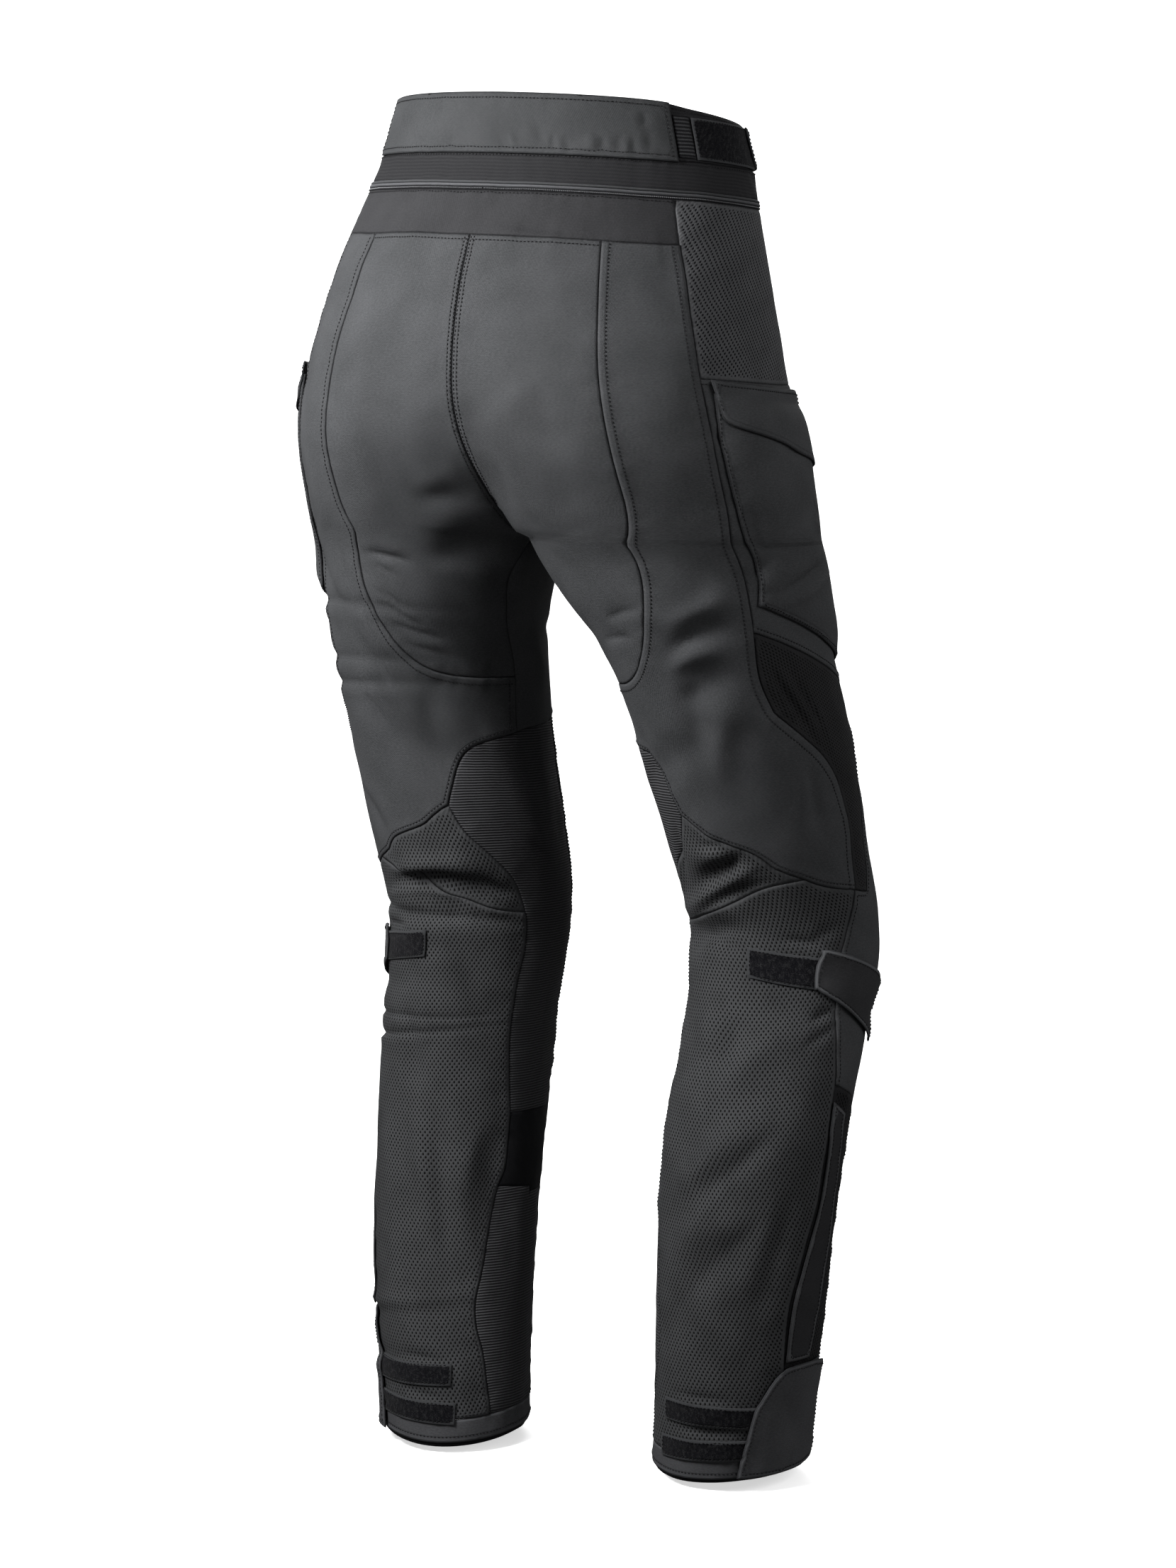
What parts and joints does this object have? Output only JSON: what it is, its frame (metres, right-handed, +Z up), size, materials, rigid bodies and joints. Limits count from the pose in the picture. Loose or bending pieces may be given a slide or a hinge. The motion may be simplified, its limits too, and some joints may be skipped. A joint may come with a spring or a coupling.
{
  "type": "motorcycle trousers",
  "caption": "Touring motorcycle trousers in their worn, filled-out shape: open waist and hems, cargo pockets, mesh panels, adjusters at waist, knee and cuff.",
  "frame": {"origin": "centre of the waist opening, where the wearer holds the trousers up", "axes": "+Z up along the wearer, -Y the front, +Y the back, -X the wearer's right side"},
  "size_m": [0.4682, 0.3396, 1.1013],
  "materials": {
    "shell_cloth": "woven, matt",
    "waist_back_cloth": "padded stretch weave, matt",
    "band_cloth": "fine rib, matt",
    "open_mesh": "three-dimensional mesh, open",
    "rib_stretch": "ribbed stretch, matt",
    "loop_pile": "loop pile, fuzzy",
    "binding": "smooth weave, low sheen",
    "elastic_web": "ribbed elastic, matt"
  },
  "bodies": {
    "root": {"yoke": "shell_cloth", "zip_tape": "binding", "lower_band": "band_cloth", "waist_back": "waist_back_cloth", "fly": "shell_cloth", "front_right": "shell_cloth", "front_left": "shell_cloth", "knee_front_right": "shell_cloth", "knee_front_left": "shell_cloth", "shin_right": "shell_cloth", "shin_left": "shell_cloth", "side_panel_right": "shell_cloth", "side_panel_left": "shell_cloth", "hip_mesh_right": "open_mesh", "hip_mesh_left": "open_mesh", "thigh_mesh_right": "open_mesh", "thigh_mesh_left": "open_mesh", "calf_mesh_right": "open_mesh", "calf_mesh_left": "open_mesh", "knee_pit_right": "open_mesh", "knee_pit_left": "open_mesh", "thigh_back_right": "shell_cloth", "thigh_back_left": "shell_cloth", "seat_right": "shell_cloth", "seat_left": "shell_cloth", "gusset_right": "open_mesh", "gusset_left": "open_mesh", "inner_rib_right": "rib_stretch", "inner_rib_left": "rib_stretch", "inner_patch_right": "loop_pile", "inner_patch_left": "loop_pile", "inner_low_right": "rib_stretch", "inner_low_left": "rib_stretch", "hem_band_right": "binding", "hem_band_left": "binding", "waistband_right": "band_cloth", "waistband_left": "band_cloth", "waist_elastic_right": "elastic_web", "waist_elastic_left": "elastic_web", "waist_loop_right": "loop_pile", "waist_loop_left": "loop_pile", "waist_tab_right": "waist_back_cloth", "waist_tab_left": "waist_back_cloth", "pocket_right": "shell_cloth", "pocket_left": "shell_cloth", "pocket_flap_right": "shell_cloth", "pocket_flap_left": "shell_cloth", "knee_loop_right": "loop_pile", "knee_loop_left": "loop_pile", "knee_tab_right": "shell_cloth", "knee_tab_left": "shell_cloth", "placket_right": "shell_cloth", "placket_left": "shell_cloth", "cuff_loop_upper_right": "loop_pile", "cuff_loop_upper_left": "loop_pile", "cuff_loop_lower_right": "loop_pile", "cuff_loop_lower_left": "loop_pile", "cuff_flap_right": "binding", "cuff_flap_left": "binding"}
  },
  "joints": []
}
